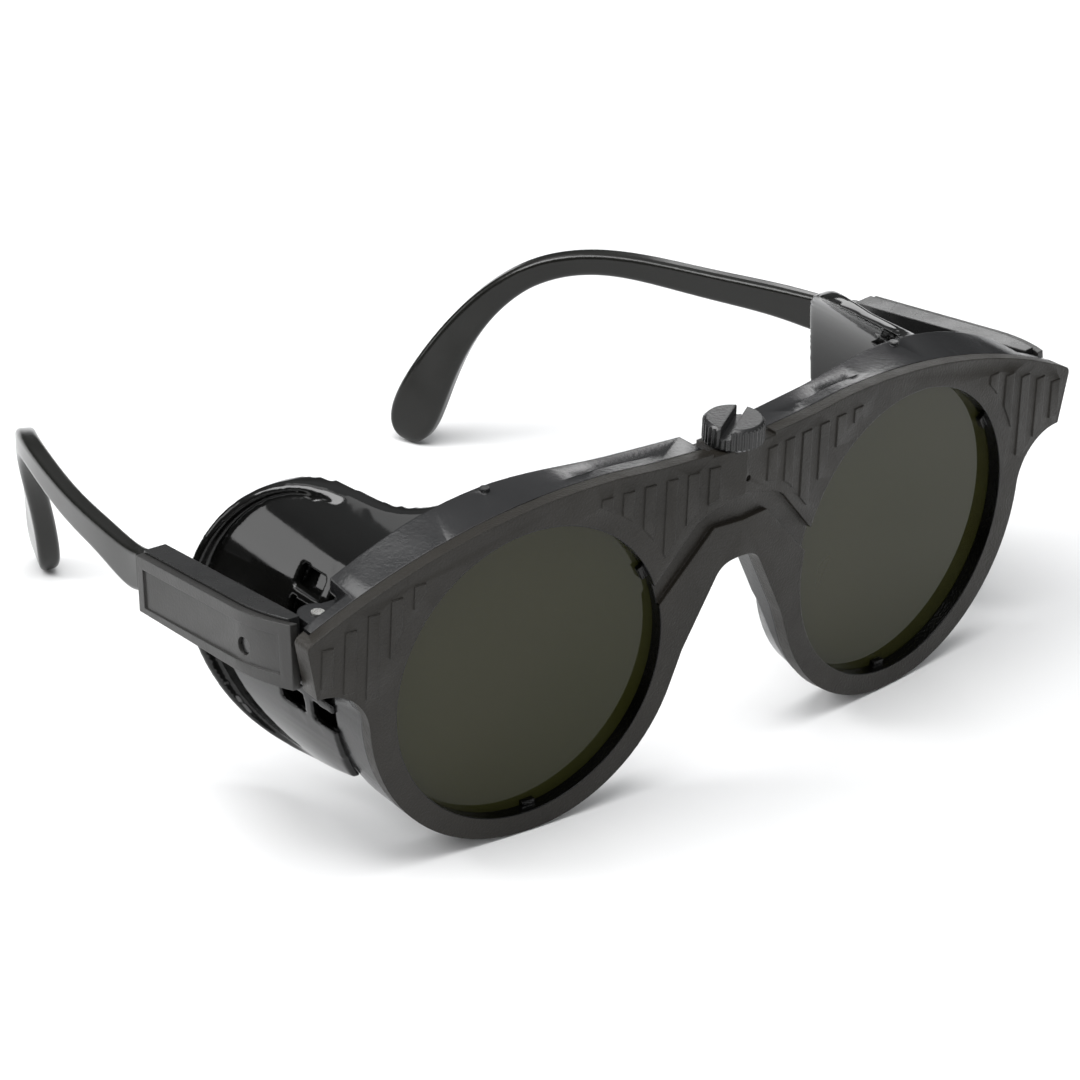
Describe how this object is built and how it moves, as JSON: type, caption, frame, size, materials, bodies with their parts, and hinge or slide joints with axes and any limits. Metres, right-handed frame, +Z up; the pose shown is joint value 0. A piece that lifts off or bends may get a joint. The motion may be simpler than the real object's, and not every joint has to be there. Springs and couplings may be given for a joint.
{
  "type": "welding goggles",
  "caption": "Round-lens welding goggles with dark filter lenses, vented side shields, a bridge thumb screw and sliding, folding temple arms.",
  "frame": {"origin": "middle of the bounding box's footprint, on the surface that the rims and arm tips rest on", "axes": "+X to the wearer's left, +Y back towards the ears, +Z up; the lenses face -Y"},
  "size_m": [0.1546, 0.1292, 0.0579],
  "materials": {
    "front_plastic": "satin black with a fine moulded texture",
    "rear_plastic": "semi-gloss black",
    "shield_plastic": "high-gloss black",
    "holder_plastic": "semi-gloss black",
    "cover_plastic": "satin black",
    "catch_plastic": "gloss black",
    "arm_plastic": "gloss black",
    "screw_plastic": "gloss black, knurled",
    "filter_glass": "polished dark green filter glass",
    "clear_glass": "polished clear",
    "pin_steel": "bright cut end",
    "washer_steel": "blackened",
    "brass": "turned"
  },
  "bodies": {
    "frame": {"rear_frame": "rear_plastic", "screw_insert": "brass", "filter_lens_left": "filter_glass", "filter_lens_right": "filter_glass", "inner_lens_left": "clear_glass", "inner_lens_right": "clear_glass", "side_shield_left": "shield_plastic", "side_shield_right": "shield_plastic", "hinge_pin_left": "pin_steel", "hinge_pin_right": "pin_steel"},
    "front": {"front_frame": "front_plastic"},
    "screw_carrier": {"screw_washer": "washer_steel"},
    "screw": {"thumb_screw": "screw_plastic"},
    "temple_left": {"temple_holder_left": "holder_plastic", "holder_cover_left": "cover_plastic", "length_catch_left": "catch_plastic"},
    "arm_left": {"temple_arm_left": "arm_plastic"},
    "temple_right": {"temple_holder_right": "holder_plastic", "holder_cover_right": "cover_plastic", "length_catch_right": "catch_plastic"},
    "arm_right": {"temple_arm_right": "arm_plastic"}
  },
  "joints": [
    {"name": "front_release", "type": "slide", "parent": "frame", "child": "front", "axis": [0, -0.9989, -0.0468], "range_m": [0, 0.012]},
    {"name": "screw_lift", "type": "slide", "parent": "frame", "child": "screw_carrier", "axis": [0, -0.0468, 0.9989], "range_m": [0, 0.0018]},
    {"name": "screw_turn", "type": "hinge", "parent": "screw_carrier", "child": "screw", "pos_m": [0, -0.05981, 0.05433], "axis": [0, -0.0468, 0.9989], "range_deg": [0, 1440]},
    {"name": "fold_left", "type": "hinge", "parent": "frame", "child": "temple_left", "pos_m": [0.0696, -0.04814, 0.03804], "axis": [0, -0.0468, 0.9989], "range_deg": [-5, 9]},
    {"name": "fold_right", "type": "hinge", "parent": "frame", "child": "temple_right", "pos_m": [-0.0696, -0.04814, 0.03804], "axis": [0, -0.0468, 0.9989], "range_deg": [-9, 5]},
    {"name": "slide_left", "type": "slide", "parent": "temple_left", "child": "arm_left", "axis": [-0.0865, 0.9934, -0.0748], "range_m": [0, 0.012]},
    {"name": "slide_right", "type": "slide", "parent": "temple_right", "child": "arm_right", "axis": [0.0865, 0.9934, -0.0748], "range_m": [0, 0.012]}
  ],
  "couplings": [
    {"joint": "screw_turn", "follows": "screw_lift", "rad_per_m": 13963}
  ]
}
